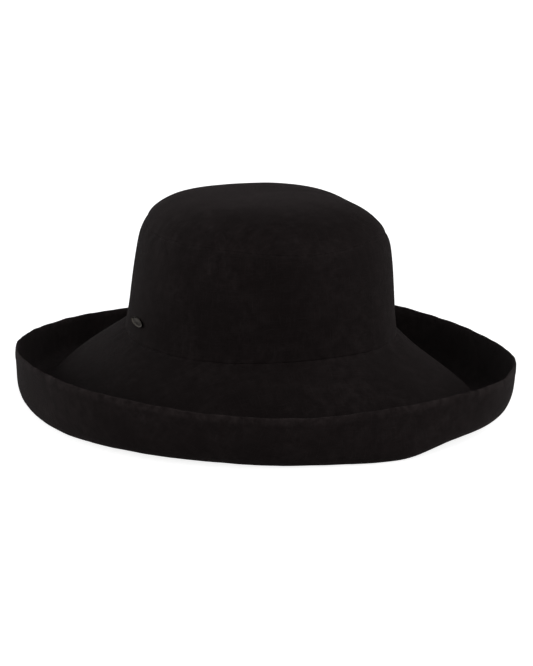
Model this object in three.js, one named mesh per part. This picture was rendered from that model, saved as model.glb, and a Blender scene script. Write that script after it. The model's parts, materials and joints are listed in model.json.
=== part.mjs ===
// A soft wide-brim hat of black cotton cloth, as it rests by itself on a table: an oval tip
// panel, a side band, a brim that slopes down and turns up along its edge, and an oval badge.
// Millimetres, +Z up. The front is towards -Y, and the fold of the brim rests on z = 0.
// An azimuth is 0 degrees at the front and grows towards +X.

import * as THREE from 'three';

// Cloth
const crownCloth = 1.5; // thickness of the crown's cloth and its backing
const brimCloth = 2; // thickness of the brim's two layers
const seamGap = 0.3; // left between two pieces that are sewn edge to edge

// Crown, measured on the outside of the cloth
const baseSeamWidth = 174; // across the head, where the side band meets the brim
const baseSeamLength = 202; // front to back
const baseSeamHeight = 50; // above the table
const baseSeamBack = 1; // from the middle of the brim to the middle of the seam
const tipSeamWidth = 154;
const tipSeamLength = 185;
const tipSeamBack = 1.5;
const tipSeamRight = 4;
const sideBandHeight = 67; // from the base seam up to the tip seam
const sideBandFullness = 2.8; // how far the band swells out between its seams
const sideBandFullest = 0.26; // where it swells most, as a share of the way down
const tipRise = 22; // from the tip seam up to the top of the crown
const tipTopBack = 10; // from the middle of the brim to the highest point
const tipTopRight = 3.5;
const tipFlatness = 4; // above 2 the middle of the tip is flatter than a ball
const tipShoulder = 1.35; // above 1 the tip rolls over more tightly near its seam

// Brim: the fold is the low line round it, where the slope ends and the upturned edge starts
const foldWidth = 291; // across, along the middle of the fold
const foldLength = 320;
const foldFlat = 8; // width of the strip that the hat's weight presses flat
const rimWidth = 324; // across, outside the upturned edge
const rimLength = 360;
const rimHeight = 37;
const upturnCurl = 12.5; // how far the cloth runs outwards before it turns up
const upturnFlare = 6; // degrees that the upturned edge leans out
const slopeAtSeam = 39; // degrees below level where the brim leaves the crown
const slopeAtFold = 51; // degrees below level where it comes to the fold

// Badge, a plain oval of metal with a raised border
const badgeWidth = 19;
const badgeHeight = 5.5;
const badgeThickness = 1.3;
const badgeBorder = 0.8; // width of the raised border
const badgeRecess = 0.4; // depth of the field inside the border
const badgeAzimuth = 274;
const badgeAboveSeam = 11; // from the base seam up to the middle of the badge
const badgeDip = 4; // degrees that its long way dips towards the front
const badgeGap = 0.3; // between the badge and the cloth

// How the crown's seams depart from plain level ovals. Heights are shares of baseSeamHeight and
// sideBandHeight, and reaches are shares of baseSeamWidth and tipSeamWidth.
const crownShape = [
  { azimuth: 0, baseHeight: 1, baseReach: 0, tipHeight: 0.955, tipReach: 0.005 },
  { azimuth: 45, baseHeight: 1, baseReach: 0, tipHeight: 1.025, tipReach: 0 },
  { azimuth: 90, baseHeight: 1.045, baseReach: -0.003, tipHeight: 0.925, tipReach: -0.02 },
  { azimuth: 135, baseHeight: 1.06, baseReach: 0, tipHeight: 1.02, tipReach: 0.025 },
  { azimuth: 180, baseHeight: 1.1, baseReach: 0, tipHeight: 1, tipReach: -0.01 },
  { azimuth: 225, baseHeight: 1.08, baseReach: 0, tipHeight: 1.075, tipReach: 0.005 },
  { azimuth: 270, baseHeight: 0.985, baseReach: 0.002, tipHeight: 0.995, tipReach: -0.004 },
  { azimuth: 315, baseHeight: 0.95, baseReach: 0, tipHeight: 0.985, tipReach: -0.002 },
];

// How the brim waves. Heights are shares of rimHeight, reaches are shares of upturnCurl, and
// slope is a share of slopeAtSeam.
const brimShape = [
  { azimuth: 12, slope: 1.03, foldHeight: 0, foldReach: 0.3, rimHeight: 0.955, rimReach: -0.12 },
  { azimuth: 24, slope: 1.07, foldHeight: 0.135, foldReach: 0.35, rimHeight: 0.965, rimReach: 0 },
  { azimuth: 40, slope: 1.15, foldHeight: 0.13, foldReach: 0.18, rimHeight: 0.98, rimReach: 0.33 },
  { azimuth: 60, slope: 1.22, foldHeight: 0.11, foldReach: 0.07, rimHeight: 0.96, rimReach: 0.17 },
  { azimuth: 90, slope: 1.3, foldHeight: 0, foldReach: -0.08, rimHeight: 0.91, rimReach: -0.19 },
  { azimuth: 135, slope: 1.1, foldHeight: 0.04, foldReach: 0, rimHeight: 1.015, rimReach: 0.15 },
  { azimuth: 180, slope: 1, foldHeight: 0, foldReach: 0, rimHeight: 0.9, rimReach: -0.05 },
  { azimuth: 225, slope: 0.9, foldHeight: 0.18, foldReach: 0.45, rimHeight: 0.93, rimReach: -0.05 },
  { azimuth: 270, slope: 0.82, foldHeight: 0, foldReach: -0.37, rimHeight: 1.075, rimReach: -0.14 },
  { azimuth: 310, slope: 0.9, foldHeight: 0.065, foldReach: 0, rimHeight: 1.02, rimReach: 0.11 },
  { azimuth: 345, slope: 0.98, foldHeight: 0, foldReach: -0.3, rimHeight: 0.91, rimReach: 0.25 },
];

// Facets: how finely the cloth is divided. Stations are shares of the way along each stretch.
const facetsAround = 72;
const tipStations = [0.16, 0.38, 0.56, 0.7, 0.81, 0.89, 0.95, 0.985, 1];
const sideStations = [0, 0.08, 0.2, 0.36, 0.54, 0.72, 0.88, 1];
const slopeStations = [0, 0.14, 0.3, 0.46, 0.62, 0.77, 0.9, 1];
const upturnStations = [0, 0.14, 0.3, 0.48, 0.7, 1];
const badgeFacets = 32;

const up = new THREE.Vector3(0, 0, 1);

function outward(azimuth) {
  const angle = THREE.MathUtils.degToRad(azimuth);
  return new THREE.Vector3(Math.sin(angle), -Math.cos(angle), 0);
}

// One column of a shape table at any azimuth: a smooth closed curve through the rows
function around(table, column, azimuth) {
  const count = table.length;
  const first = table[0].azimuth;
  const angle = first + ((((azimuth - first) % 360) + 360) % 360);
  const row = (index) => {
    const turns = Math.floor(index / count);
    const entry = table[index - turns * count];
    return { at: entry.azimuth + 360 * turns, value: entry[column] };
  };
  let start = 0;
  while (row(start + 1).at <= angle) {
    start += 1;
  }
  const [before, from, to, after] = [start - 1, start, start + 1, start + 2].map(row);
  const span = to.at - from.at;
  const t = (angle - from.at) / span;
  const leave = ((to.value - before.value) / (to.at - before.at)) * span;
  const arrive = ((after.value - from.value) / (after.at - from.at)) * span;
  const [t2, t3] = [t * t, t * t * t];
  return (
    from.value * (2 * t3 - 3 * t2 + 1) +
    leave * (t3 - 2 * t2 + t) +
    to.value * (3 * t2 - 2 * t3) +
    arrive * (t3 - t2)
  );
}

function ovalPoint(width, length, azimuth, right, back, height) {
  const direction = outward(azimuth);
  return new THREE.Vector3(
    (direction.x * width) / 2 + right,
    (direction.y * length) / 2 + back,
    height,
  );
}

function baseSeam(azimuth) {
  const height = baseSeamHeight * around(crownShape, 'baseHeight', azimuth);
  const reach = baseSeamWidth * around(crownShape, 'baseReach', azimuth);
  const point = ovalPoint(baseSeamWidth, baseSeamLength, azimuth, 0, baseSeamBack, height);
  return point.addScaledVector(outward(azimuth), reach);
}

function tipSeam(azimuth) {
  const height = baseSeamHeight + sideBandHeight * around(crownShape, 'tipHeight', azimuth);
  const reach = tipSeamWidth * around(crownShape, 'tipReach', azimuth);
  const point = ovalPoint(
    tipSeamWidth, tipSeamLength, azimuth, tipSeamRight, tipSeamBack, height,
  );
  return point.addScaledVector(outward(azimuth), reach);
}

const tipTop = new THREE.Vector3(
  tipTopRight,
  tipTopBack,
  baseSeamHeight + sideBandHeight + tipRise,
);

// The outside of the tip panel, from near the top to its seam
function tipLine(azimuth) {
  const seam = tipSeam(azimuth);
  return tipStations.map((share) => {
    const point = tipTop.clone().lerp(seam, share);
    const drop = 1 - (1 - share ** tipFlatness) ** (1 / tipShoulder);
    point.z = tipTop.z + (seam.z - tipTop.z) * drop;
    return point;
  });
}

// The outside of the side band, from the tip seam down to the base seam
function sideLine(azimuth) {
  const [top, bottom] = [tipSeam(azimuth), baseSeam(azimuth)];
  const power = Math.log(0.5) / Math.log(sideBandFullest);
  return sideStations.map((share) => {
    const swell = sideBandFullness * Math.sin(Math.PI * share ** power);
    return top.clone().lerp(bottom, share).addScaledVector(outward(azimuth), swell);
  });
}

// The upper face of the brim, from the base seam out to the fold and up to the rim
function brimLine(azimuth) {
  const direction = outward(azimuth);
  const seam = baseSeam(azimuth);
  const lift = Math.max(0, around(brimShape, 'foldHeight', azimuth)) * rimHeight;
  const fold = ovalPoint(foldWidth, foldLength, azimuth, 0, 0, brimCloth + lift);
  fold.addScaledVector(direction, around(brimShape, 'foldReach', azimuth) * upturnCurl);
  const foldStart = fold.clone().addScaledVector(direction, -foldFlat / 2);
  const foldEnd = fold.clone().addScaledVector(direction, foldFlat / 2);
  const flare = THREE.MathUtils.degToRad(upturnFlare);
  const rise = rimHeight * around(brimShape, 'rimHeight', azimuth);
  const rim = ovalPoint(rimWidth, rimLength, azimuth, 0, 0, rise);
  const rimReach = around(brimShape, 'rimReach', azimuth) * upturnCurl;
  rim.addScaledVector(direction, rimReach - brimCloth * Math.cos(flare));

  const heel = THREE.MathUtils.degToRad(slopeAtFold);
  const shoulder = THREE.MathUtils.degToRad(slopeAtSeam * around(brimShape, 'slope', azimuth));
  const handle = seam.distanceTo(foldStart) / 3;
  const slope = new THREE.CubicBezierCurve3(
    seam,
    seam.clone()
      .addScaledVector(direction, handle * Math.cos(shoulder))
      .addScaledVector(up, -handle * Math.sin(shoulder)),
    foldStart.clone()
      .addScaledVector(direction, -handle * Math.cos(heel))
      .addScaledVector(up, handle * Math.sin(heel)),
    foldStart,
  );
  const climb = (rim.z - foldEnd.z) / 2;
  const upturn = new THREE.CubicBezierCurve3(
    foldEnd,
    foldEnd.clone().addScaledVector(direction, upturnCurl),
    rim.clone()
      .addScaledVector(direction, -climb * Math.sin(flare))
      .addScaledVector(up, -climb * Math.cos(flare)),
    rim,
  );
  return [
    ...slopeStations.map((share) => slope.getPoint(share)),
    ...upturnStations.map((share) => upturn.getPoint(share)),
  ];
}

// The unit direction square to a step along a line, on the side that faces the table or the head
function inwardOf(from, to, azimuth) {
  const step = to.clone().sub(from);
  const run = step.dot(outward(azimuth));
  return outward(azimuth)
    .multiplyScalar(step.z)
    .addScaledVector(up, -run)
    .normalize();
}

// Where the far faces of two stretches of cloth meet, seen from the corner of their near faces
function cornerOffset(normalA, clothA, normalB, clothB) {
  const cosine = normalA.dot(normalB);
  const square = 1 - cosine * cosine;
  if (square < 1e-6) {
    return normalA.clone().multiplyScalar((clothA + clothB) / 2);
  }
  return normalA.clone()
    .multiplyScalar((clothA - cosine * clothB) / square)
    .addScaledVector(normalB, (clothB - cosine * clothA) / square);
}

// A wall of cloth under a line: pairs of a near and a far point. before and after are the
// neighbours that it is sewn to, each with the next point along it and its cloth.
function wallSection(line, cloth, azimuth, before, after) {
  const last = line.length - 1;
  return line.map((point, index) => {
    const inner = index > 0 ? inwardOf(line[index - 1], point, azimuth) : null;
    const outer = index < last ? inwardOf(point, line[index + 1], azimuth) : null;
    let near = point.clone();
    let offset;
    if (inner && outer) {
      offset = cornerOffset(inner, cloth, outer, cloth);
    } else {
      const own = inner ?? outer;
      const neighbour = inner ? after : before;
      if (neighbour) {
        const other = inner
          ? inwardOf(point, neighbour.point, azimuth)
          : inwardOf(neighbour.point, point, azimuth);
        offset = cornerOffset(own, cloth, other, neighbour.cloth);
        const towards = (inner ? line[index - 1] : line[1]).clone().sub(point).normalize();
        const halfTurn = Math.sqrt((1 + own.dot(other)) / 2);
        near = near.addScaledVector(towards, seamGap / 2 / halfTurn);
      } else {
        offset = own.clone().multiplyScalar(cloth);
      }
    }
    return { near, far: near.clone().add(offset) };
  });
}

// Triangles between rings of points. A ring of one point is a pole, and closed joins the last
// ring to the first.
function skin(rings, closed) {
  const positions = [];
  const push = (...points) => points.forEach((point) => positions.push(...point.toArray()));
  const count = closed ? rings.length : rings.length - 1;
  for (let index = 0; index < count; index += 1) {
    const upper = rings[index];
    const lower = rings[(index + 1) % rings.length];
    for (let step = 0; step < facetsAround; step += 1) {
      const next = (step + 1) % facetsAround;
      if (upper.length === 1) {
        push(upper[0], lower[step], lower[next]);
      } else if (lower.length === 1) {
        push(upper[step], lower[0], upper[next]);
      } else {
        push(upper[step], lower[step], lower[next]);
        push(upper[step], lower[next], upper[next]);
      }
    }
  }
  const geometry = new THREE.BufferGeometry();
  geometry.setAttribute('position', new THREE.Float32BufferAttribute(positions, 3));
  geometry.computeVertexNormals();
  return geometry;
}

const azimuths = Array.from({ length: facetsAround }, (_, step) => (360 * step) / facetsAround);

// Rings down the near face of a wall and back along its far face
function wallRings(sectionAt) {
  const sections = azimuths.map(sectionAt);
  const stations = sections[0].map((_, index) => index);
  const near = stations.map((index) => sections.map((section) => section[index].near));
  const far = stations.map((index) => sections.map((section) => section[index].far));
  return [...near, ...far.reverse()];
}

const blackCotton = () => new THREE.MeshStandardMaterial({
  color: 0x1a1716, roughness: 0.92, metalness: 0,
});
const dullMetal = () => new THREE.MeshStandardMaterial({
  color: 0x4a443b, roughness: 0.42, metalness: 0.9,
});

function makeCrownTip() {
  const rings = wallRings((azimuth) => {
    const after = { point: sideLine(azimuth)[1], cloth: crownCloth };
    return wallSection(tipLine(azimuth), crownCloth, azimuth, null, after);
  });
  const outerPole = tipTop.clone();
  const innerPole = tipTop.clone().addScaledVector(up, -crownCloth);
  return new THREE.Mesh(skin([[outerPole], ...rings, [innerPole]], false), blackCotton());
}

function makeCrownSide() {
  const rings = wallRings((azimuth) => {
    const before = { point: tipLine(azimuth).at(-2), cloth: crownCloth };
    const after = { point: brimLine(azimuth)[1], cloth: brimCloth };
    return wallSection(sideLine(azimuth), crownCloth, azimuth, before, after);
  });
  return new THREE.Mesh(skin(rings, true), blackCotton());
}

function makeBrim() {
  const rings = wallRings((azimuth) => {
    const before = { point: sideLine(azimuth).at(-2), cloth: crownCloth };
    return wallSection(brimLine(azimuth), brimCloth, azimuth, before, null);
  });
  return new THREE.Mesh(skin(rings, true), blackCotton());
}

// The badge lies flat against the side band, with its long way round the crown
function makeBadge() {
  const field = 1 - (2 * badgeBorder) / badgeHeight;
  const outline = [
    [0, 0],
    [0.94, 0],
    [1, 0.3],
    [1, 0.7],
    [(1 + field) / 2, 1],
    [field, 1 - badgeRecess / badgeThickness],
    [0, 1 - badgeRecess / badgeThickness / 2],
  ];
  const profile = outline.map(([reach, height]) => new THREE.Vector2(reach, height));
  const geometry = new THREE.LatheGeometry(profile, badgeFacets);
  geometry.scale(badgeWidth / 2, badgeThickness, badgeHeight / 2);

  const line = sideLine(badgeAzimuth);
  const height = baseSeamHeight + badgeAboveSeam;
  const below = line.findIndex((point) => point.z < height);
  const [above, under] = [line[below - 1], line[below]];
  const seat = above.clone().lerp(under, (above.z - height) / (above.z - under.z));
  const normal = inwardOf(above, under, badgeAzimuth).negate();
  const level = new THREE.Vector3().crossVectors(normal, up).normalize();

  const badge = new THREE.Mesh(geometry, dullMetal());
  const place = new THREE.Group();
  const depth = new THREE.Vector3().crossVectors(level, normal);
  const turn = new THREE.Matrix4().makeBasis(level, normal, depth);
  place.quaternion.setFromRotationMatrix(turn);
  place.rotateY(-THREE.MathUtils.degToRad(badgeDip));
  place.position.copy(seat).addScaledVector(normal, badgeGap);
  place.add(badge);
  return { badge, place };
}

const hat = new THREE.Group();
const crownTip = makeCrownTip();
crownTip.name = 'crown_tip';
const crownSide = makeCrownSide();
crownSide.name = 'crown_side';
const brim = makeBrim();
brim.name = 'brim';
const { badge, place: badgePlace } = makeBadge();
badge.name = 'badge';
hat.add(crownTip, crownSide, brim, badgePlace);

export default hat;
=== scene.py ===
"""A soft wide-brim hat of black cotton, as it rests by itself on a pale floor.

Lengths are in metres, +Z up, with the front of the hat towards -Y. An azimuth is 0 at the front
and grows towards +X. Each cloth piece starts as a merged copy of its solid in the frame.
"""

import json
import math
from collections import namedtuple

import bmesh
import bpy
from bpy.props import FloatProperty, FloatVectorProperty, IntProperty, PointerProperty
from mathutils import Matrix, Vector, kdtree, noise

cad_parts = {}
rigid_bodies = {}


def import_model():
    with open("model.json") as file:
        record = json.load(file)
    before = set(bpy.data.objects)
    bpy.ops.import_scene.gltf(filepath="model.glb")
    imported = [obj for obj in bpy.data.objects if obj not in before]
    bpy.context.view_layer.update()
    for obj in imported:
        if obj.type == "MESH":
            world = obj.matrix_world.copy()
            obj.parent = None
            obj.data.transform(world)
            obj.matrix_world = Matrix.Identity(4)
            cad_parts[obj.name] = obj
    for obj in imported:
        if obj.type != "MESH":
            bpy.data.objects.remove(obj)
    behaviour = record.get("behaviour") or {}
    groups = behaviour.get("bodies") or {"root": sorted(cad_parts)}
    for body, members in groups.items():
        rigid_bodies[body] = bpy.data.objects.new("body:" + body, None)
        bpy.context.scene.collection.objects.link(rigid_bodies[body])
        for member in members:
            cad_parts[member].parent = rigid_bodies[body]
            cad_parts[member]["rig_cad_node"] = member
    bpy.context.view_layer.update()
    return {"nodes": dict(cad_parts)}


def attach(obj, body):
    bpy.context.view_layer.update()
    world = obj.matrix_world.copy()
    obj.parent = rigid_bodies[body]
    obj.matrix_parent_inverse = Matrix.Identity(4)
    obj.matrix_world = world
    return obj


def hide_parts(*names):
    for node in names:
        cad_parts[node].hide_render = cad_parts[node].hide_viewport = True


bl_info = {
    "name": "Wide-brim hat",
    "version": (1, 0, 0),
    "blender": (4, 5, 0),
    "location": "View3D > Sidebar > Hat",
    "description": "Makes a soft black wide-brim hat with a small oval badge",
    "category": "Add Mesh",
}

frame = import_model()

MM = 0.001
UP = Vector((0, 0, 1))
MIDDLE = Vector((0, 0, 0))

# Names of what is stored on a piece: its flat pattern, its wear with the painted highlight along
# the brim's edge, and how far each vertex lies from the base seam and from the other edge. The tip
# has one seam, so both are measured from it.
CLOTH_MAP = "cloth"
EDGE_MASK = "edge"
FROM_BASE = "from_base"
FROM_EDGE = "from_edge"

# How seams and cut edges are found on a solid: vertices of two panels that are closer than
# SEWING_REACH are sewn together, a panel turns over its cut edge by more than SHARP_CORNER, and
# an edge that runs round the hat spans more than STEP_ROUND
MERGE_REACH = 0.01 * MM
SEWING_REACH = 0.8 * MM
SHARP_CORNER = math.radians(57)
STEP_ROUND = math.radians(2.5)

# Blender's noise would start from the clock. From this seed each run gives the same cloth.
NOISE_SEED = 1

# Fine dents lie on the wide ones, at these shares of their size and depth
FINE_DENT_SIZE = 0.35
FINE_DENT_DEPTH = 0.3
FINE_DENT_SHIFT = Vector((7, 3, 5))

# How much longer the puckers are than the space between them
PUCKER_STRETCH = 5

# The hem's swell ends between these shares of its width, and it wavers every few widths
HEM_FULL = 0.75
HEM_GONE = 1.1
WAVER_LENGTH = 2

# Creases of the pressed fold: they are full below this share of their height, stand this close
# together, and their ridges are brought to the depth that is set. The fractal's numbers are its
# smoothness, the step from one size to the next, how many sizes it has, its offset and its gain.
CREASES_FULL = 0.2
CREASES_PER_METRE = 60
CREASE_SCALE = 0.3
CREASE_FRACTAL = (1.0, 2.0, 3, 1.0, 2.0)

# Cotton: a slub's size in threads, the two sizes of the mottling, and how much slubs, fading and
# rubbing each bring out the worn colour. Along the brim's edge the rubbing is also a painted
# highlight.
SLUB_LENGTH = 26
SLUB_WIDTH = 2
MOTTLE_SIZES = (34 * MM, 6 * MM)
SLUB_WEAR = 0.2
FADED_WEAR = 0.5
RUBBED_WEAR_AND_HIGHLIGHT = 0.9
COTTON_ROUGHNESS = 0.95
THREAD_POLISH = 0.12
SLUB_RELIEF = 0.8
WEAVE_DEPTH = 0.12 * MM

# Brass: the size of its tarnish, how much of its colour shows through in bright spots of the
# tarnish and on raised places, and how dark the hollows are
TARNISH_SIZE = 1.6 * MM
TARNISH_DEPTH = 0.03 * MM
TARNISH_SHINE = 0.3
RAISED_SHINE = 0.7
HOLLOW_SHADE = 0.08
BRASS_ROUGHNESS = 0.16
TARNISH_ROUGHNESS = 0.15

# Badge: its field rises in rings, each this share of the one before, and metal is rubbed bright
# above this share of the recess. Its corners get a fine bevel, and shading is smooth up to an
# angle.
FIELD_RINGS = (0.72, 0.45, 0.2)
RUBBED_ABOVE = 0.6
BEVEL_WIDTH = 0.2 * MM
BEVEL_SEGMENTS = 3
BEVEL_ANGLE = math.radians(35)
SMOOTH_ANGLE = math.radians(50)

# Floor: the size of its unevenness, and the shade of its darker places
FLOOR_MOTTLE_SIZE = 0.4
FLOOR_SHADE = 0.98

# Each light fades out where the cosine of the angle to its middle falls to this. The one behind
# stands further to the left than back.
SIDE_FADE = 0.4
HIGH_FADE = 0.6
FRONT_FADE = 0.3
BACK_FADE = 0.5
BACK_TO_LEFT = 1.3

# Camera: its sensor in millimetres, and where it looks from the point that it is aimed at, in
# pixels of a picture of this height
SENSOR_WIDTH = 36
IMAGE_HEIGHT = 666
LOOK_RIGHT_PIXELS = 5.5
LOOK_UP_PIXELS = -1.3

# A vertex of the cloth before it is moved: its place, its normal, and how far it lies from the
# base seam and from the other edge
Spot = namedtuple("Spot", ("place", "normal", "from_base", "from_edge"))


# Sizes and colours that a user may change

class ClothSettings(bpy.types.PropertyGroup):
    """How the cotton is made and how it lies."""

    colour: FloatVectorProperty(
        name="Colour", description="Colour of the dyed cotton", subtype="COLOR",
        size=3, min=0, max=1, default=(0.0081, 0.006, 0.0059),
    )
    # The worn colour is also the colour of the painted highlight along the brim's edge.
    worn_and_highlight_colour: FloatVectorProperty(
        name="Worn colour", description="Colour where the dye has rubbed off along the edges",
        subtype="COLOR", size=3, min=0, max=1, default=(0.028, 0.022, 0.022),
    )
    thread: FloatProperty(
        name="Thread", description="Width of one thread of the weave", subtype="DISTANCE",
        unit="LENGTH", min=0.1 * MM, max=2 * MM, default=0.42 * MM,
    )
    sheen: FloatProperty(
        name="Sheen", description="Strength of the light that loose fibres catch", subtype="FACTOR",
        min=0, max=1, default=0.055,
    )
    unevenness: FloatProperty(
        name="Unevenness", description="How far the soft cloth strays from its pattern",
        subtype="DISTANCE", unit="LENGTH", min=0, max=3 * MM, default=0.5 * MM,
    )
    unevenness_size: FloatProperty(
        name="Size of unevenness", description="Width of one soft dent", subtype="DISTANCE",
        unit="LENGTH", min=10 * MM, max=200 * MM, default=48 * MM,
    )
    # This width is also the width of the painted highlight along the brim's edge.
    wear_and_highlight_width: FloatProperty(
        name="Width of wear", description="How far the wear reaches from an edge",
        subtype="DISTANCE", unit="LENGTH", min=0.2 * MM, max=20 * MM, default=0.9 * MM,
    )
    smoothing: IntProperty(
        name="Smoothing", description="How many times the cloth is subdivided", min=1, max=3,
        default=2,
    )


class SeamSettings(bpy.types.PropertyGroup):
    """How the panels are sewn together."""

    base_groove: FloatProperty(
        name="Base groove", description="How much of each panel's edge rolls into the base seam",
        subtype="DISTANCE", unit="LENGTH", min=0.1 * MM, max=0.7 * MM, default=0.5 * MM,
    )
    tip_groove: FloatProperty(
        name="Tip groove", description="How much of each panel's edge rolls into the tip seam",
        subtype="DISTANCE", unit="LENGTH", min=0.1 * MM, max=0.7 * MM, default=0.15 * MM,
    )
    base_pucker: FloatProperty(
        name="Base pucker", description="Depth of the short wrinkles along the base seam",
        subtype="DISTANCE", unit="LENGTH", min=0, max=2 * MM, default=0.6 * MM,
    )
    tip_pucker: FloatProperty(
        name="Tip pucker", description="Depth of the short wrinkles along the tip seam",
        subtype="DISTANCE", unit="LENGTH", min=0, max=2 * MM, default=0.35 * MM,
    )
    pucker_spacing: FloatProperty(
        name="Pucker spacing", description="Distance from one short wrinkle to the next",
        subtype="DISTANCE", unit="LENGTH", min=2 * MM, max=50 * MM, default=9 * MM,
    )
    pucker_reach: FloatProperty(
        name="Pucker reach", description="How far the wrinkles run from the seam",
        subtype="DISTANCE", unit="LENGTH", min=1 * MM, max=50 * MM, default=9 * MM,
    )
    hem_round: FloatProperty(
        name="Hem rounding", description="Rounding of the brim's turned edge",
        subtype="DISTANCE", unit="LENGTH", min=0.1 * MM, max=0.95 * MM, default=0.7 * MM,
    )
    hem_width: FloatProperty(
        name="Hem width", description="Width of the allowance turned in at the brim's edge",
        subtype="DISTANCE", unit="LENGTH", min=1 * MM, max=15 * MM, default=6 * MM,
    )
    hem_swell: FloatProperty(
        name="Hem swell", description="How much the allowance lifts each face of the brim",
        subtype="DISTANCE", unit="LENGTH", min=0, max=1 * MM, default=0.22 * MM,
    )
    hem_waver: FloatProperty(
        name="Hem waver", description="How far the sewn edge of the brim strays from its line",
        subtype="DISTANCE", unit="LENGTH", min=0, max=3 * MM, default=0.5 * MM,
    )
    wear: FloatProperty(
        name="Seam wear", description="How far the dye has rubbed off along the seams",
        subtype="FACTOR", min=0, max=1, default=0.25,
    )
    # Along the brim's edge this is rubbed dye and a painted highlight.
    hem_wear_and_highlight: FloatProperty(
        name="Hem wear", description="How far the dye has rubbed off along the brim's edge",
        subtype="FACTOR", min=0, max=1, default=1,
    )
    crumple: FloatProperty(
        name="Crumple", description="Depth of the creases where the brim is pressed flat",
        subtype="DISTANCE", unit="LENGTH", min=0, max=2 * MM, default=0.45 * MM,
    )
    crumple_height: FloatProperty(
        name="Height of the creases", description="How far up from the floor the creases reach",
        subtype="DISTANCE", unit="LENGTH", min=1 * MM, max=50 * MM, default=16 * MM,
    )


class BadgeSettings(bpy.types.PropertyGroup):
    """The small oval badge."""

    colour: FloatVectorProperty(
        name="Colour", description="Colour of the darkened brass", subtype="COLOR",
        size=3, min=0, max=1, default=(0.12, 0.108, 0.09),
    )
    border: FloatProperty(
        name="Border", description="Width of the raised border", subtype="DISTANCE",
        unit="LENGTH", min=0.3 * MM, max=2 * MM, default=0.8 * MM,
    )
    recess: FloatProperty(
        name="Recess", description="Depth of the field inside the border", subtype="DISTANCE",
        unit="LENGTH", min=0.1 * MM, max=1 * MM, default=0.45 * MM,
    )
    dome: FloatProperty(
        name="Dome", description="How far the middle of the field stands up again",
        subtype="DISTANCE", unit="LENGTH", min=0, max=1 * MM, default=0.28 * MM,
    )
    sides: IntProperty(
        name="Sides", description="Corners of the oval outline", min=16, max=128, default=64,
    )


class StageSettings(bpy.types.PropertyGroup):
    """The floor, the light and the camera."""

    floor_colour: FloatVectorProperty(
        name="Floor", description="Colour of the floor", subtype="COLOR",
        size=3, min=0, max=1, default=(0.86, 0.86, 0.86),
    )
    floor_size: FloatProperty(
        name="Floor size", description="Side of the square floor", subtype="DISTANCE",
        unit="LENGTH", min=2, max=100, default=40,
    )
    floor_glow: FloatProperty(
        name="Floor glow", description="How far the floor is overexposed to the camera", min=0,
        max=10, default=0.85,
    )
    left_light: FloatProperty(
        name="Left light", description="Brightness of the wide soft light on the left", min=0,
        max=10, default=0.78,
    )
    right_light: FloatProperty(
        name="Right light", description="Brightness of the wide soft light on the right", min=0,
        max=10, default=0.62,
    )
    high_light: FloatProperty(
        name="High light", description="Brightness of the soft light high on the right", min=0,
        max=10, default=0.76,
    )
    front_light: FloatProperty(
        name="Front light", description="Brightness of the light from the camera's side", min=0,
        max=10, default=0.84,
    )
    back_light: FloatProperty(
        name="Back light", description="Brightness of the light behind and to the left", min=0,
        max=10, default=0.55,
    )
    azimuth: FloatProperty(
        name="Azimuth", description="Where the camera stands round the hat", subtype="ANGLE",
        unit="ROTATION", default=math.radians(-19.2),
    )
    elevation: FloatProperty(
        name="Elevation", description="How high the camera stands", subtype="ANGLE",
        unit="ROTATION", default=math.radians(12.2),
    )
    distance: FloatProperty(
        name="Distance", description="From the camera to the point that it looks at",
        subtype="DISTANCE", unit="LENGTH", min=0.5, max=10, default=1.6,
    )
    look_height: FloatProperty(
        name="Look height", description="Height of the point that the camera looks at",
        subtype="DISTANCE", unit="LENGTH", min=0, max=1, default=0.0473,
    )
    lens: FloatProperty(
        name="Lens", description="Focal length", subtype="DISTANCE_CAMERA", unit="CAMERA",
        min=20, max=400, default=131.5,
    )


# Helpers for modelling

def activate(piece):
    """Selects only this piece and makes it the active one."""
    bpy.ops.object.select_all(action="DESELECT")
    piece.hide_viewport = False
    piece.select_set(True)
    bpy.context.view_layer.objects.active = piece


def rename(piece, name):
    piece.name = name
    piece.data.name = name


def finish_piece(piece, node, material):
    """Gives a finished piece its material, hangs it under the root body and hides the solid that it
    replaces.
    """
    piece.data.materials.clear()
    piece.data.materials.append(material)
    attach(piece, "root")
    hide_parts(node)


def outward(azimuth):
    return Vector((math.sin(azimuth), -math.cos(azimuth), 0))


def azimuth_of(point, centre):
    return math.atan2(point.x - centre.x, centre.y - point.y)


def turn_along(edge, centre):
    """How far an edge runs round a centre, as an angle."""
    first, last = (azimuth_of(vertex.co, centre) for vertex in edge.verts)
    return abs(math.remainder(first - last, 2 * math.pi))


def girth_of(piece, ring):
    """The length of a seam, from how far its vertices lie from the middle on average."""
    reach = sum(piece.data.vertices[index].co.xy.length for index in ring) / len(ring)
    return 2 * math.pi * reach


def smooth_step(low, high, value):
    share = min(1, max(0, (value - low) / (high - low)))
    return share * share * (3 - 2 * share)


# Cloth: each piece is a merged copy of its solid, sewn to its neighbours and then softened

def cloth_copy(node, name):
    """A merged copy of a solid, with its quads back, that may be changed."""
    activate(frame["nodes"][node])
    bpy.ops.object.duplicate()
    piece = bpy.context.active_object
    rename(piece, name)
    piece.parent = None
    del piece["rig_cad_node"]
    bpy.ops.object.mode_set(mode="EDIT")
    bpy.ops.mesh.select_all(action="SELECT")
    bpy.ops.mesh.customdata_custom_splitnormals_clear()
    bpy.ops.mesh.remove_doubles(threshold=MERGE_REACH)
    bpy.ops.mesh.tris_convert_to_quads(face_threshold=math.pi, shape_threshold=math.pi)
    bpy.ops.object.mode_set(mode="OBJECT")
    return piece


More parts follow.
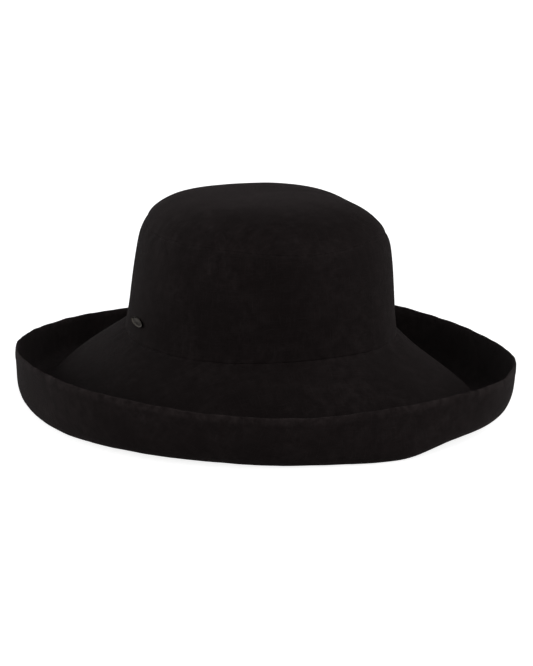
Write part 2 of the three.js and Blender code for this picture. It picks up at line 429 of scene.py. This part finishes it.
def sew(piece, neighbour):
    """Closes half of the gap to a neighbouring panel, and returns the vertices that it moved."""
    partners = [vertex.co.copy() for vertex in frame["nodes"][neighbour].data.vertices]
    tree = kdtree.KDTree(len(partners))
    for index, partner in enumerate(partners):
        tree.insert(partner, index)
    tree.balance()
    sewn = []
    for vertex in piece.data.vertices:
        partner, _, distance = tree.find(vertex.co)
        if distance < SEWING_REACH:
            vertex.co = vertex.co.lerp(partner, 0.5)
            sewn.append(vertex.index)
    return sewn


def corner_rings(mesh):
    """The edges round the hat where a panel's face turns over its cut edge."""
    return [
        edge for edge in mesh.edges
        if edge.calc_face_angle(0) > SHARP_CORNER and turn_along(edge, MIDDLE) > STEP_ROUND
    ]


def measure(piece, name, sources, centre=MIDDLE):
    """Stores how far each vertex lies from some edge, along the cloth and across the rings."""
    mesh = bmesh.new()
    mesh.from_mesh(piece.data)
    mesh.verts.ensure_lookup_table()
    distances = {index: 0.0 for index in sources}
    front = list(sources)
    while front:
        reached = []
        for index in front:
            for edge in mesh.verts[index].link_edges:
                other = edge.other_vert(mesh.verts[index])
                if other.index not in distances and turn_along(edge, centre) < STEP_ROUND:
                    distances[other.index] = distances[index] + edge.calc_length()
                    reached.append(other.index)
        front = reached
    mesh.free()
    attribute = piece.data.attributes.new(name, "FLOAT", "POINT")
    furthest = max(distances.values())
    for vertex in piece.data.vertices:
        attribute.data[vertex.index].value = distances.get(vertex.index, furthest)


def fill_out(piece):
    """Moves the vertices outwards, so that the smooth cloth passes through where they were.

    Subdivision brings each one to a mean of itself, the four beside it and the four across, with
    weights of 16, 4 and 1.
    """
    mesh = bmesh.new()
    mesh.from_mesh(piece.data)
    cut_edges = {vertex for edge in corner_rings(mesh) for vertex in edge.verts}
    moved = {}
    for vertex in mesh.verts:
        beside = [edge.other_vert(vertex) for edge in vertex.link_edges]
        across = [
            other for face in vertex.link_faces for other in face.verts
            if other is not vertex and other not in beside
        ]
        if vertex in cut_edges or len(beside) != 4 or len(across) != 4:
            continue
        near = sum((other.co for other in beside), Vector())
        far = sum((other.co for other in across), Vector())
        shrunk = vertex.co - (16 * vertex.co + 4 * near + far) / 36
        moved[vertex] = vertex.co + vertex.normal * shrunk.dot(vertex.normal)
    for vertex, place in moved.items():
        vertex.co = place
    mesh.to_mesh(piece.data)
    mesh.free()


def round_edges(piece, *widths):
    """Rounds the rings of cut edges: each entry is a list of vertices and how far they roll."""
    mesh = bmesh.new()
    mesh.from_mesh(piece.data)
    rings = corner_rings(mesh)
    chosen = [
        ([edge for edge in rings if edge.verts[0].index in set(vertices)], width)
        for vertices, width in widths
    ]
    for edges, width in chosen:
        bmesh.ops.bevel(
            mesh, geom=edges, offset=width, offset_type="OFFSET", segments=1, profile=0.5,
            affect="EDGES", clamp_overlap=True,
        )
    mesh.to_mesh(piece.data)
    mesh.free()


def soften(piece, levels):
    """Turns the facets into smooth cloth."""
    activate(piece)
    bpy.ops.object.modifier_add(type="SUBSURF")
    modifier = piece.modifiers[-1]
    modifier.levels = levels
    modifier.render_levels = levels
    bpy.ops.object.modifier_apply(modifier=modifier.name)
    bpy.ops.object.shade_smooth()


def values_of(piece, name):
    return [item.value for item in piece.data.attributes[name].data]


def soft_dents(spot, cloth):
    """The slow rise and fall of cloth that holds its shape by itself."""
    wide = noise.noise_vector(spot.place / cloth.unevenness_size)
    fine_size = FINE_DENT_SIZE * cloth.unevenness_size
    fine = noise.noise_vector(spot.place / fine_size + FINE_DENT_SHIFT)
    return (wide + FINE_DENT_DEPTH * fine) * cloth.unevenness


def pucker(spot, distance, girth, depth, seams):
    """Short irregular wrinkles that start at a seam and die out away from it."""
    azimuth = azimuth_of(spot.place, MIDDLE)
    turns = girth / (2 * math.pi * seams.pucker_spacing)
    place = Vector((math.cos(azimuth), math.sin(azimuth), 0)) * turns
    place.z = distance / (PUCKER_STRETCH * seams.pucker_spacing)
    height = depth * noise.noise(place) * math.exp(-distance / seams.pucker_reach)
    return (outward(azimuth) + UP) * (height / math.sqrt(2))


def hem(spot, seams):
    """The brim's edge: thicker by its turned-in allowance, and wavering along its stitches."""
    width = seams.hem_width
    swell = 1 - smooth_step(HEM_FULL * width, HEM_GONE * width, spot.from_edge)
    waver = noise.noise_vector(spot.place / (WAVER_LENGTH * width)) * seams.hem_waver
    return spot.normal * (swell * seams.hem_swell) + waver * math.exp(-spot.from_edge / width)


def crumple(spot, seams):
    """Small creases low on the brim, where its fold is pressed against the floor."""
    full_height = CREASES_FULL * seams.crumple_height
    low = 1 - smooth_step(full_height, seams.crumple_height, spot.place.z)
    place = spot.place * CREASES_PER_METRE
    creases = noise.ridged_multi_fractal(place, *CREASE_FRACTAL) - 1
    return spot.normal * (CREASE_SCALE * low * creases * seams.crumple)


def move_vertices(piece, *moves):
    """Adds up some moves of every vertex, each worked out from where it lies in the cloth."""
    noise.seed_set(NOISE_SEED)
    vertices = piece.data.vertices
    spots = [
        Spot(vertex.co.copy(), vertex.normal.copy(), from_base, from_edge)
        for vertex, from_base, from_edge
        in zip(vertices, values_of(piece, FROM_BASE), values_of(piece, FROM_EDGE))
    ]
    for vertex, spot in zip(vertices, spots):
        for move in moves:
            vertex.co += move(spot)
    piece.data.update()


def map_cloth(piece, pattern_of):
    """Lays the piece's flat pattern on its map, in metres, for the weave."""
    layer = piece.data.uv_layers.new(name=CLOTH_MAP)
    piece.data.uv_layers.active = layer
    from_base = values_of(piece, FROM_BASE)
    vertices = piece.data.vertices
    for face in piece.data.polygons:
        for loop in face.loop_indices:
            index = piece.data.loops[loop].vertex_index
            layer.data[loop].uv = pattern_of(vertices[index].co, from_base[index], face)


def mask_edges(piece, width, at_base, at_edge):
    """Marks the wear along a piece's two edges, each with its own strength; at the brim's edge also
    a painted highlight.
    """
    mask = piece.data.attributes.new(EDGE_MASK, "FLOAT", "POINT")
    pairs = zip(values_of(piece, FROM_BASE), values_of(piece, FROM_EDGE))
    for index, (base, edge) in enumerate(pairs):
        # At the brim's edge this wear is also a painted highlight.
        wear = max(at_base * math.exp(-base / width), at_edge * math.exp(-edge / width))
        mask.data[index].value = wear


# Materials

class Nodes:
    """Adds nodes to a tree and links what they are given."""

    def __init__(self, tree):
        self.tree = tree

    def feed(self, node, inputs):
        """Links each input to the socket that it is given, or sets it to a value."""
        for key, value in inputs.items():
            socket = node.inputs[key]
            if isinstance(value, bpy.types.NodeSocket):
                self.tree.links.new(value, socket)
            else:
                socket.default_value = value

    def add(self, kind, inputs=None, **settings):
        node = self.tree.nodes.new(kind)
        for name, value in settings.items():
            setattr(node, name, value)
        self.feed(node, inputs or {})
        return node

    def group(self, make, inputs):
        """Places the shared group that a function makes, with its own values."""
        return self.add("ShaderNodeGroup", inputs, node_tree=shared_group(make))

    def math(self, operation, *values):
        node = self.add("ShaderNodeMath", dict(enumerate(values)), operation=operation)
        return node.outputs[0]

    def vector(self, operation, inputs):
        return self.add("ShaderNodeVectorMath", inputs, operation=operation).outputs[0]

    def blend(self, share, first, second):
        """A colour between two plain ones: the first where the share is 0."""
        node = self.add(
            "ShaderNodeMix",
            {"Factor": share, "A": (*first, 1), "B": (*second, 1)},
            data_type="RGBA",
        )
        return node.outputs["Result"]


def new_group(name, inputs, outputs):
    """An empty shader node group with named sockets, its nodes, and its input and output nodes."""
    group = bpy.data.node_groups.new(name, "ShaderNodeTree")
    for in_out, sockets in (("INPUT", inputs), ("OUTPUT", outputs)):
        for socket, kind in sockets.items():
            group.interface.new_socket(socket, in_out=in_out, socket_type=kind)
    nodes = Nodes(group)
    return nodes, nodes.add("NodeGroupInput"), nodes.add("NodeGroupOutput")


def plain_weave_group():
    """Warp and weft threads that pass over and under each other, as a height from 0 to 1."""
    nodes, given, result = new_group(
        "plain weave",
        {"Map": "NodeSocketVector", "Thread": "NodeSocketFloat"},
        {"Height": "NodeSocketFloat"},
    )
    turns = nodes.math("DIVIDE", math.pi, given.outputs["Thread"])
    scaled = nodes.vector("SCALE", {0: given.outputs["Map"], "Scale": turns})
    split = nodes.add("ShaderNodeSeparateXYZ", {0: scaled})
    warp = nodes.math("SINE", split.outputs["X"])
    weft = nodes.math("SINE", split.outputs["Y"])
    crossing = nodes.math("MULTIPLY", warp, weft)
    over = nodes.math("MULTIPLY_ADD", crossing, 0.5, 0.5)
    under = nodes.math("SUBTRACT", 1, over)
    warp_height = nodes.math("MULTIPLY", nodes.math("ABSOLUTE", warp), over)
    weft_height = nodes.math("MULTIPLY", nodes.math("ABSOLUTE", weft), under)
    nodes.feed(result, {"Height": nodes.math("ADD", warp_height, weft_height)})
    return nodes.tree


def slub_group():
    """Thick places in single threads, as short streaks along the warp and the weft."""
    nodes, given, result = new_group(
        "slubs",
        {"Map": "NodeSocketVector", "Length": "NodeSocketFloat", "Width": "NodeSocketFloat"},
        {"Streaks": "NodeSocketFloat"},
    )
    along = nodes.math("DIVIDE", 1, given.outputs["Length"])
    across = nodes.math("DIVIDE", 1, given.outputs["Width"])
    streaks = []
    for scale_x, scale_y, shift in ((along, across, 0.0), (across, along, 31.0)):
        stretch = nodes.add("ShaderNodeCombineXYZ", {"X": scale_x, "Y": scale_y, "Z": 1.0})
        place = nodes.vector("MULTIPLY", {0: given.outputs["Map"], 1: stretch.outputs[0]})
        moved = nodes.vector("ADD", {0: place, 1: (shift, shift, shift)})
        speckle = nodes.add("ShaderNodeTexNoise", {"Vector": moved, "Scale": 1.0, "Detail": 1.0})
        streaks.append(nodes.add(
            "ShaderNodeMapRange",
            {"Value": speckle.outputs["Fac"], "From Min": 0.54, "From Max": 0.8},
            interpolation_type="SMOOTHSTEP",
        ).outputs["Result"])
    nodes.feed(result, {"Streaks": nodes.math("MAXIMUM", *streaks)})
    return nodes.tree


def mottle_group():
    """Uneven tone over the surface, from 0 to 1, at two sizes."""
    nodes, given, result = new_group(
        "mottle",
        {"Place": "NodeSocketVector", "Size": "NodeSocketFloat"},
        {"Tone": "NodeSocketFloat"},
    )
    scale = nodes.math("DIVIDE", 1, given.outputs["Size"])
    speckle = nodes.add(
        "ShaderNodeTexNoise",
        {"Vector": given.outputs["Place"], "Scale": scale, "Detail": 4.0, "Roughness": 0.6},
    )
    tone = nodes.add(
        "ShaderNodeMapRange",
        {"Value": speckle.outputs["Fac"], "From Min": 0.32, "From Max": 0.68},
    )
    nodes.feed(result, {"Tone": tone.outputs["Result"]})
    return nodes.tree


def shared_group(make):
    """The one copy of a node group, made the first time that it is asked for."""
    name = {plain_weave_group: "plain weave", slub_group: "slubs", mottle_group: "mottle"}[make]
    return bpy.data.node_groups.get(name) or make()


def new_material(name):
    material = bpy.data.materials.new(name)
    material.use_nodes = True
    nodes = Nodes(material.node_tree)
    shader = material.node_tree.nodes["Principled BSDF"]
    return material, nodes, shader


def cotton(name, cloth):
    """Black cotton canvas: woven, slubbed, a little mottled, and worn along its edges, with a
    painted highlight along the brim's edge.
    """
    material, nodes, shader = new_material(name)
    pattern = nodes.add("ShaderNodeUVMap", uv_map=CLOTH_MAP).outputs["UV"]
    place = nodes.add("ShaderNodeTexCoord").outputs["Object"]
    edge = nodes.add("ShaderNodeAttribute", attribute_name=EDGE_MASK).outputs["Fac"]

    threads = nodes.group(
        plain_weave_group, {"Map": pattern, "Thread": cloth.thread},
    ).outputs["Height"]
    streaks = nodes.group(
        slub_group,
        {"Map": pattern, "Length": SLUB_LENGTH * cloth.thread, "Width": SLUB_WIDTH * cloth.thread},
    ).outputs["Streaks"]
    wide_tone, fine_tone = (
        nodes.group(mottle_group, {"Place": place, "Size": size}).outputs["Tone"]
        for size in MOTTLE_SIZES
    )

    faded = nodes.math("MULTIPLY", nodes.math("MULTIPLY", wide_tone, fine_tone), FADED_WEAR)
    streaked = nodes.math("MULTIPLY_ADD", streaks, SLUB_WEAR, faded)
    # The edge mark is rubbed dye, and along the brim's edge also a painted highlight.
    rubbed = nodes.math("MULTIPLY", edge, fine_tone)
    worn = nodes.math("MULTIPLY_ADD", rubbed, RUBBED_WEAR_AND_HIGHLIGHT, streaked)
    wear = nodes.add("ShaderNodeClamp", {"Value": worn}).outputs[0]
    relief = nodes.math("MULTIPLY_ADD", streaks, SLUB_RELIEF, threads)
    bump = nodes.add(
        "ShaderNodeBump", {"Height": relief, "Distance": WEAVE_DEPTH, "Strength": 0.7},
    )
    nodes.feed(shader, {
        "Base Color": nodes.blend(wear, cloth.colour, cloth.worn_and_highlight_colour),
        "Roughness": nodes.math("MULTIPLY_ADD", threads, -THREAD_POLISH, COTTON_ROUGHNESS),
        "Normal": bump.outputs["Normal"],
        "Specular IOR Level": 0.12,
        "Specular Tint": (1, 0.84, 0.86, 1),
        "Sheen Weight": cloth.sheen,
        "Sheen Roughness": 0.25,
        "Sheen Tint": (1, 0.86, 0.88, 1),
    })
    return material


def dark_brass(colour):
    """Brass that has gone dark in its hollows and stays bright where it is rubbed."""
    material, nodes, shader = new_material("dark_brass")
    place = nodes.add("ShaderNodeTexCoord").outputs["Object"]
    raised = nodes.add("ShaderNodeAttribute", attribute_name=EDGE_MASK).outputs["Fac"]
    tarnish = nodes.group(mottle_group, {"Place": place, "Size": TARNISH_SIZE}).outputs["Tone"]
    rubbed = nodes.math("MULTIPLY", raised, RAISED_SHINE)
    shine = nodes.math("MULTIPLY_ADD", tarnish, TARNISH_SHINE, rubbed)
    hollow_colour = [HOLLOW_SHADE * channel for channel in colour]
    bump = nodes.add(
        "ShaderNodeBump", {"Height": tarnish, "Distance": TARNISH_DEPTH, "Strength": 0.5},
    )
    nodes.feed(shader, {
        "Base Color": nodes.blend(shine, hollow_colour, colour),
        "Roughness": nodes.math("MULTIPLY_ADD", tarnish, TARNISH_ROUGHNESS, BRASS_ROUGHNESS),
        "Normal": bump.outputs["Normal"],
        "Metallic": 1,
        "Specular Tint": (0.75, 0.73, 0.72, 1),
    })
    return material


def floor_paint(colour, glow):
    """Matt white paint with a faint unevenness, overexposed as the camera sees it."""
    material, nodes, shader = new_material("pale_floor")
    place = nodes.add("ShaderNodeTexCoord").outputs["Object"]
    mottle = nodes.group(mottle_group, {"Place": place, "Size": FLOOR_MOTTLE_SIZE})
    darker = [FLOOR_SHADE * channel for channel in colour]
    seen = nodes.add("ShaderNodeLightPath").outputs["Is Camera Ray"]
    nodes.feed(shader, {
        "Base Color": nodes.blend(mottle.outputs["Tone"], darker, colour),
        "Roughness": 0.9,
        "Emission Color": (1, 1, 1, 1),
        "Emission Strength": nodes.math("MULTIPLY", seen, glow),
    })
    return material


# Operators: one for each piece, and one for the stage

class HAT_OT_crown_tip(bpy.types.Operator):
    """Make the domed panel on top of the crown."""

    bl_idname = "hat.crown_tip"
    bl_label = "Crown tip"

    def execute(self, context):
        cloth = context.scene.hat_cloth
        seams = context.scene.hat_seams
        piece = cloth_copy("crown_tip", "domed_crown_tip")
        top = max((vertex.co for vertex in piece.data.vertices), key=lambda co: co.z).copy()
        sewn = sew(piece, "crown_side")
        girth = girth_of(piece, sewn)
        measure(piece, FROM_BASE, sewn, top)
        measure(piece, FROM_EDGE, sewn, top)
        fill_out(piece)
        round_edges(piece, (sewn, seams.tip_groove))
        soften(piece, cloth.smoothing)
        move_vertices(
            piece,
            lambda spot: soft_dents(spot, cloth),
            lambda spot: pucker(spot, spot.from_edge, girth, seams.tip_pucker, seams),
        )
        map_cloth(piece, lambda point, base, face: (point.x, point.y))
        mask_edges(piece, cloth.wear_and_highlight_width, seams.wear, seams.wear)
        finish_piece(piece, "crown_tip", cotton("tip_cotton", cloth))
        return {"FINISHED"}


class HAT_OT_side_band(bpy.types.Operator):
    """Make the side band of the crown."""

    bl_idname = "hat.side_band"
    bl_label = "Side band"

    def execute(self, context):
        cloth = context.scene.hat_cloth
        seams = context.scene.hat_seams
        piece = cloth_copy("crown_side", "crown_side_band")
        at_base = sew(piece, "brim")
        at_tip = sew(piece, "crown_tip")
        base_girth = girth_of(piece, at_base)
        tip_girth = girth_of(piece, at_tip)
        measure(piece, FROM_BASE, at_base)
        measure(piece, FROM_EDGE, at_tip)
        fill_out(piece)
        round_edges(piece, (at_base, seams.base_groove), (at_tip, seams.tip_groove))
        soften(piece, cloth.smoothing)
        move_vertices(
            piece,
            lambda spot: soft_dents(spot, cloth),
            lambda spot: pucker(spot, spot.from_base, base_girth, seams.base_pucker, seams),
            lambda spot: pucker(spot, spot.from_edge, tip_girth, seams.tip_pucker, seams),
        )

        def pattern(point, from_base, face):
            """The band lies flat round its girth, with its two ends meeting at the back."""
            middle = azimuth_of(face.center, MIDDLE)
            azimuth = middle + math.remainder(azimuth_of(point, MIDDLE) - middle, 2 * math.pi)
            return (azimuth / (2 * math.pi) * base_girth, from_base)

        map_cloth(piece, pattern)
        mask_edges(piece, cloth.wear_and_highlight_width, seams.wear, seams.wear)
        finish_piece(piece, "crown_side", cotton("band_cotton", cloth))
        return {"FINISHED"}


class HAT_OT_brim(bpy.types.Operator):
    """Make the brim, with its pressed fold and upturned edge."""

    bl_idname = "hat.brim"
    bl_label = "Brim"

    def execute(self, context):
        cloth = context.scene.hat_cloth
        seams = context.scene.hat_seams
        piece = cloth_copy("brim", "upturned_brim")
        sewn = sew(piece, "crown_side")
        rim = self.rim_of(piece, sewn)
        girth = girth_of(piece, sewn)
        measure(piece, FROM_BASE, sewn)
        measure(piece, FROM_EDGE, rim)
        fill_out(piece)
        round_edges(piece, (sewn, seams.base_groove), (rim, seams.hem_round))
        soften(piece, cloth.smoothing)
        move_vertices(
            piece,
            lambda spot: soft_dents(spot, cloth),
            lambda spot: pucker(spot, spot.from_base, girth, seams.base_pucker, seams),
            lambda spot: hem(spot, seams),
            lambda spot: crumple(spot, seams),
        )
        for vertex in piece.data.vertices:
            vertex.co.z = max(vertex.co.z, 0)

        def pattern(point, from_base, face):
            """The brim is cut as a flat ring, so its weave runs straight across all of it."""
            flat = outward(azimuth_of(point, MIDDLE)) * (girth / (2 * math.pi) + from_base)
            return (flat.x, flat.y)

        map_cloth(piece, pattern)
        # The hem's wear here is rubbed dye and a painted highlight along the brim's edge.
        mask_edges(piece, cloth.wear_and_highlight_width, seams.wear, seams.hem_wear_and_highlight)
        finish_piece(piece, "brim", cotton("brim_cotton", cloth))
        return {"FINISHED"}

    @staticmethod
    def rim_of(piece, sewn):
        """The vertices of the brim's free edge."""
        mesh = bmesh.new()
        mesh.from_mesh(piece.data)
        cut_edges = {vertex.index for edge in corner_rings(mesh) for vertex in edge.verts}
        mesh.free()
        return sorted(cut_edges - set(sewn))


class HAT_OT_badge(bpy.types.Operator):
    """Make the small oval badge."""

    bl_idname = "hat.badge"
    bl_label = "Badge"

    def execute(self, context):
        settings = context.scene.hat_badge
        place, size = self.place_in_frame()
        bpy.ops.object.select_all(action="DESELECT")
        bpy.ops.mesh.primitive_circle_add(
            vertices=settings.sides, radius=0.5, fill_type="NGON", enter_editmode=True,
        )
        piece = bpy.context.active_object
        rename(piece, "oval_badge")
        bpy.ops.transform.resize(value=(size.x, size.y, 1))
        bpy.ops.mesh.extrude_region_move(
            TRANSFORM_OT_translate={"value": (0, 0, size.z)},
        )
        bpy.ops.mesh.inset(thickness=settings.border, use_even_offset=True)
        bpy.ops.transform.translate(value=(0, 0, -settings.recess))
        for share in FIELD_RINGS:
            bpy.ops.mesh.extrude_region_move(
                TRANSFORM_OT_translate={"value": (0, 0, settings.dome / len(FIELD_RINGS))},
            )
            bpy.ops.transform.resize(value=(share, share, 1))
        bpy.ops.mesh.select_all(action="SELECT")
        bpy.ops.mesh.normals_make_consistent(inside=False)
        bpy.ops.object.mode_set(mode="OBJECT")
        bpy.ops.object.modifier_add(type="BEVEL")
        bevel = piece.modifiers[-1]
        bevel.width = BEVEL_WIDTH
        bevel.segments = BEVEL_SEGMENTS
        bevel.limit_method = "ANGLE"
        bevel.angle_limit = BEVEL_ANGLE
        bpy.ops.object.modifier_apply(modifier=bevel.name)
        bpy.ops.object.shade_smooth_by_angle(angle=SMOOTH_ANGLE)
        raised = piece.data.attributes.new(EDGE_MASK, "FLOAT", "POINT")
        rubbed_from = RUBBED_ABOVE * settings.recess
        for vertex in piece.data.vertices:
            height = vertex.co.z - (size.z - settings.recess)
            raised.data[vertex.index].value = smooth_step(rubbed_from, settings.recess, height)
        piece.data.transform(place)
        finish_piece(piece, "badge", dark_brass(settings.colour))
        return {"FINISHED"}

    @staticmethod
    def place_in_frame():
        """Where the badge's back lies in the frame, with X the long way, and its sizes."""
        mesh = frame["nodes"]["badge"].data
        centre = sum((vertex.co for vertex in mesh.vertices), Vector()) / len(mesh.vertices)
        normal = max(mesh.polygons, key=lambda face: face.area).normal.copy()
        if normal.xy.dot(centre.xy) < 0:
            normal.negate()
        arms = [vertex.co - centre for vertex in mesh.vertices]
        longest = max(arms, key=lambda arm: arm.length)
        along = (longest - normal * longest.dot(normal)).normalized()
        axes = Matrix((along, normal.cross(along), normal)).transposed()
        local = [axes.transposed() @ vertex.co for vertex in mesh.vertices]
        lowest = Vector(min(point[axis] for point in local) for axis in range(3))
        highest = Vector(max(point[axis] for point in local) for axis in range(3))
        seat = (lowest + highest) / 2
        seat.z = lowest.z
        return Matrix.Translation(axes @ seat) @ axes.to_4x4(), highest - lowest


class HAT_OT_stage(bpy.types.Operator):
    """Make the floor, the light and the camera."""

    bl_idname = "hat.stage"
    bl_label = "Stage"

    def execute(self, context):
        settings = context.scene.hat_stage
        bpy.ops.object.select_all(action="DESELECT")
        bpy.ops.mesh.primitive_plane_add(size=settings.floor_size, location=(0, 0, 0))
        floor = bpy.context.active_object
        rename(floor, "pale_floor")
        floor.data.materials.append(floor_paint(settings.floor_colour, settings.floor_glow))
        self.make_light(context.scene, settings)
        self.make_camera(context.scene, settings)
        context.scene.view_settings.view_transform = "Standard"
        return {"FINISHED"}

    @staticmethod
    def make_light(scene, settings):
        """A world of wide soft lights, white to the camera, so that they aren't seen themselves."""
        world = bpy.data.worlds.new("white_studio")
        world.use_nodes = True
        scene.world = world
        nodes = Nodes(world.node_tree)
        background = world.node_tree.nodes["Background"]
        towards = nodes.add("ShaderNodeTexCoord").outputs["Generated"]
        front = outward(settings.azimuth)
        right = outward(settings.azimuth + math.pi / 2)
        behind_left = (-front - BACK_TO_LEFT * right).normalized()
        total = 0.0
        for strength, middle, fade in (
            (settings.left_light, -right, SIDE_FADE),
            (settings.right_light, right, SIDE_FADE),
            (settings.high_light, (right + UP).normalized(), HIGH_FADE),
            (settings.front_light, front, FRONT_FADE),
            (settings.back_light, behind_left, BACK_FADE),
        ):
            facing = nodes.add(
                "ShaderNodeVectorMath", {0: towards, 1: middle}, operation="DOT_PRODUCT",
            ).outputs["Value"]
            light = nodes.add(
                "ShaderNodeMapRange",
                {"Value": facing, "From Min": fade, "From Max": 1.0, "To Max": strength},
                interpolation_type="SMOOTHSTEP",
            ).outputs["Result"]
            total = nodes.math("ADD", light, total)
        seen = nodes.add("ShaderNodeLightPath").outputs["Is Camera Ray"]
        shown = nodes.add(
            "ShaderNodeMix", {"Factor": seen, "A": total, "B": 1.0}, data_type="FLOAT",
        ).outputs["Result"]
        nodes.feed(background, {"Color": (1, 1, 1, 1), "Strength": shown})

    @staticmethod
    def make_camera(scene, settings):
        """A camera at the photograph's angle, with the hat where the photograph has it."""
        across = outward(settings.azimuth) * math.cos(settings.elevation)
        back = across + UP * math.sin(settings.elevation)
        bpy.ops.object.camera_add()
        camera = bpy.context.active_object
        camera.name = "camera"
        camera.location = UP * settings.look_height + back * settings.distance
        camera.rotation_mode = "QUATERNION"
        camera.rotation_quaternion = back.to_track_quat("Z", "Y")
        camera.data.lens = settings.lens
        camera.data.sensor_width = SENSOR_WIDTH
        camera.data.shift_x = LOOK_RIGHT_PIXELS / IMAGE_HEIGHT
        camera.data.shift_y = LOOK_UP_PIXELS / IMAGE_HEIGHT
        scene.camera = camera


CLASSES = (
    ClothSettings,
    SeamSettings,
    BadgeSettings,
    StageSettings,
    HAT_OT_crown_tip,
    HAT_OT_side_band,
    HAT_OT_brim,
    HAT_OT_badge,
    HAT_OT_stage,
)


class HAT_PT_pieces(bpy.types.Panel):
    """Lists the operators that make the hat."""

    bl_label = "Wide-brim hat"
    bl_idname = "HAT_PT_pieces"
    bl_space_type = "VIEW_3D"
    bl_region_type = "UI"
    bl_category = "Hat"

    def draw(self, context):
        column = self.layout.column()
        for operator in CLASSES:
            if issubclass(operator, bpy.types.Operator):
                column.operator(operator.bl_idname)


def register():
    for entry in (*CLASSES, HAT_PT_pieces):
        bpy.utils.register_class(entry)
    bpy.types.Scene.hat_cloth = PointerProperty(type=ClothSettings)
    bpy.types.Scene.hat_seams = PointerProperty(type=SeamSettings)
    bpy.types.Scene.hat_badge = PointerProperty(type=BadgeSettings)
    bpy.types.Scene.hat_stage = PointerProperty(type=StageSettings)


def unregister():
    for name in ("hat_cloth", "hat_seams", "hat_badge", "hat_stage"):
        delattr(bpy.types.Scene, name)
    for entry in (HAT_PT_pieces, *reversed(CLASSES)):
        bpy.utils.unregister_class(entry)


def main():
    register()
    bpy.ops.hat.crown_tip()
    bpy.ops.hat.side_band()
    bpy.ops.hat.brim()
    bpy.ops.hat.badge()
    bpy.ops.hat.stage()


if __name__ == "__main__":
    main()
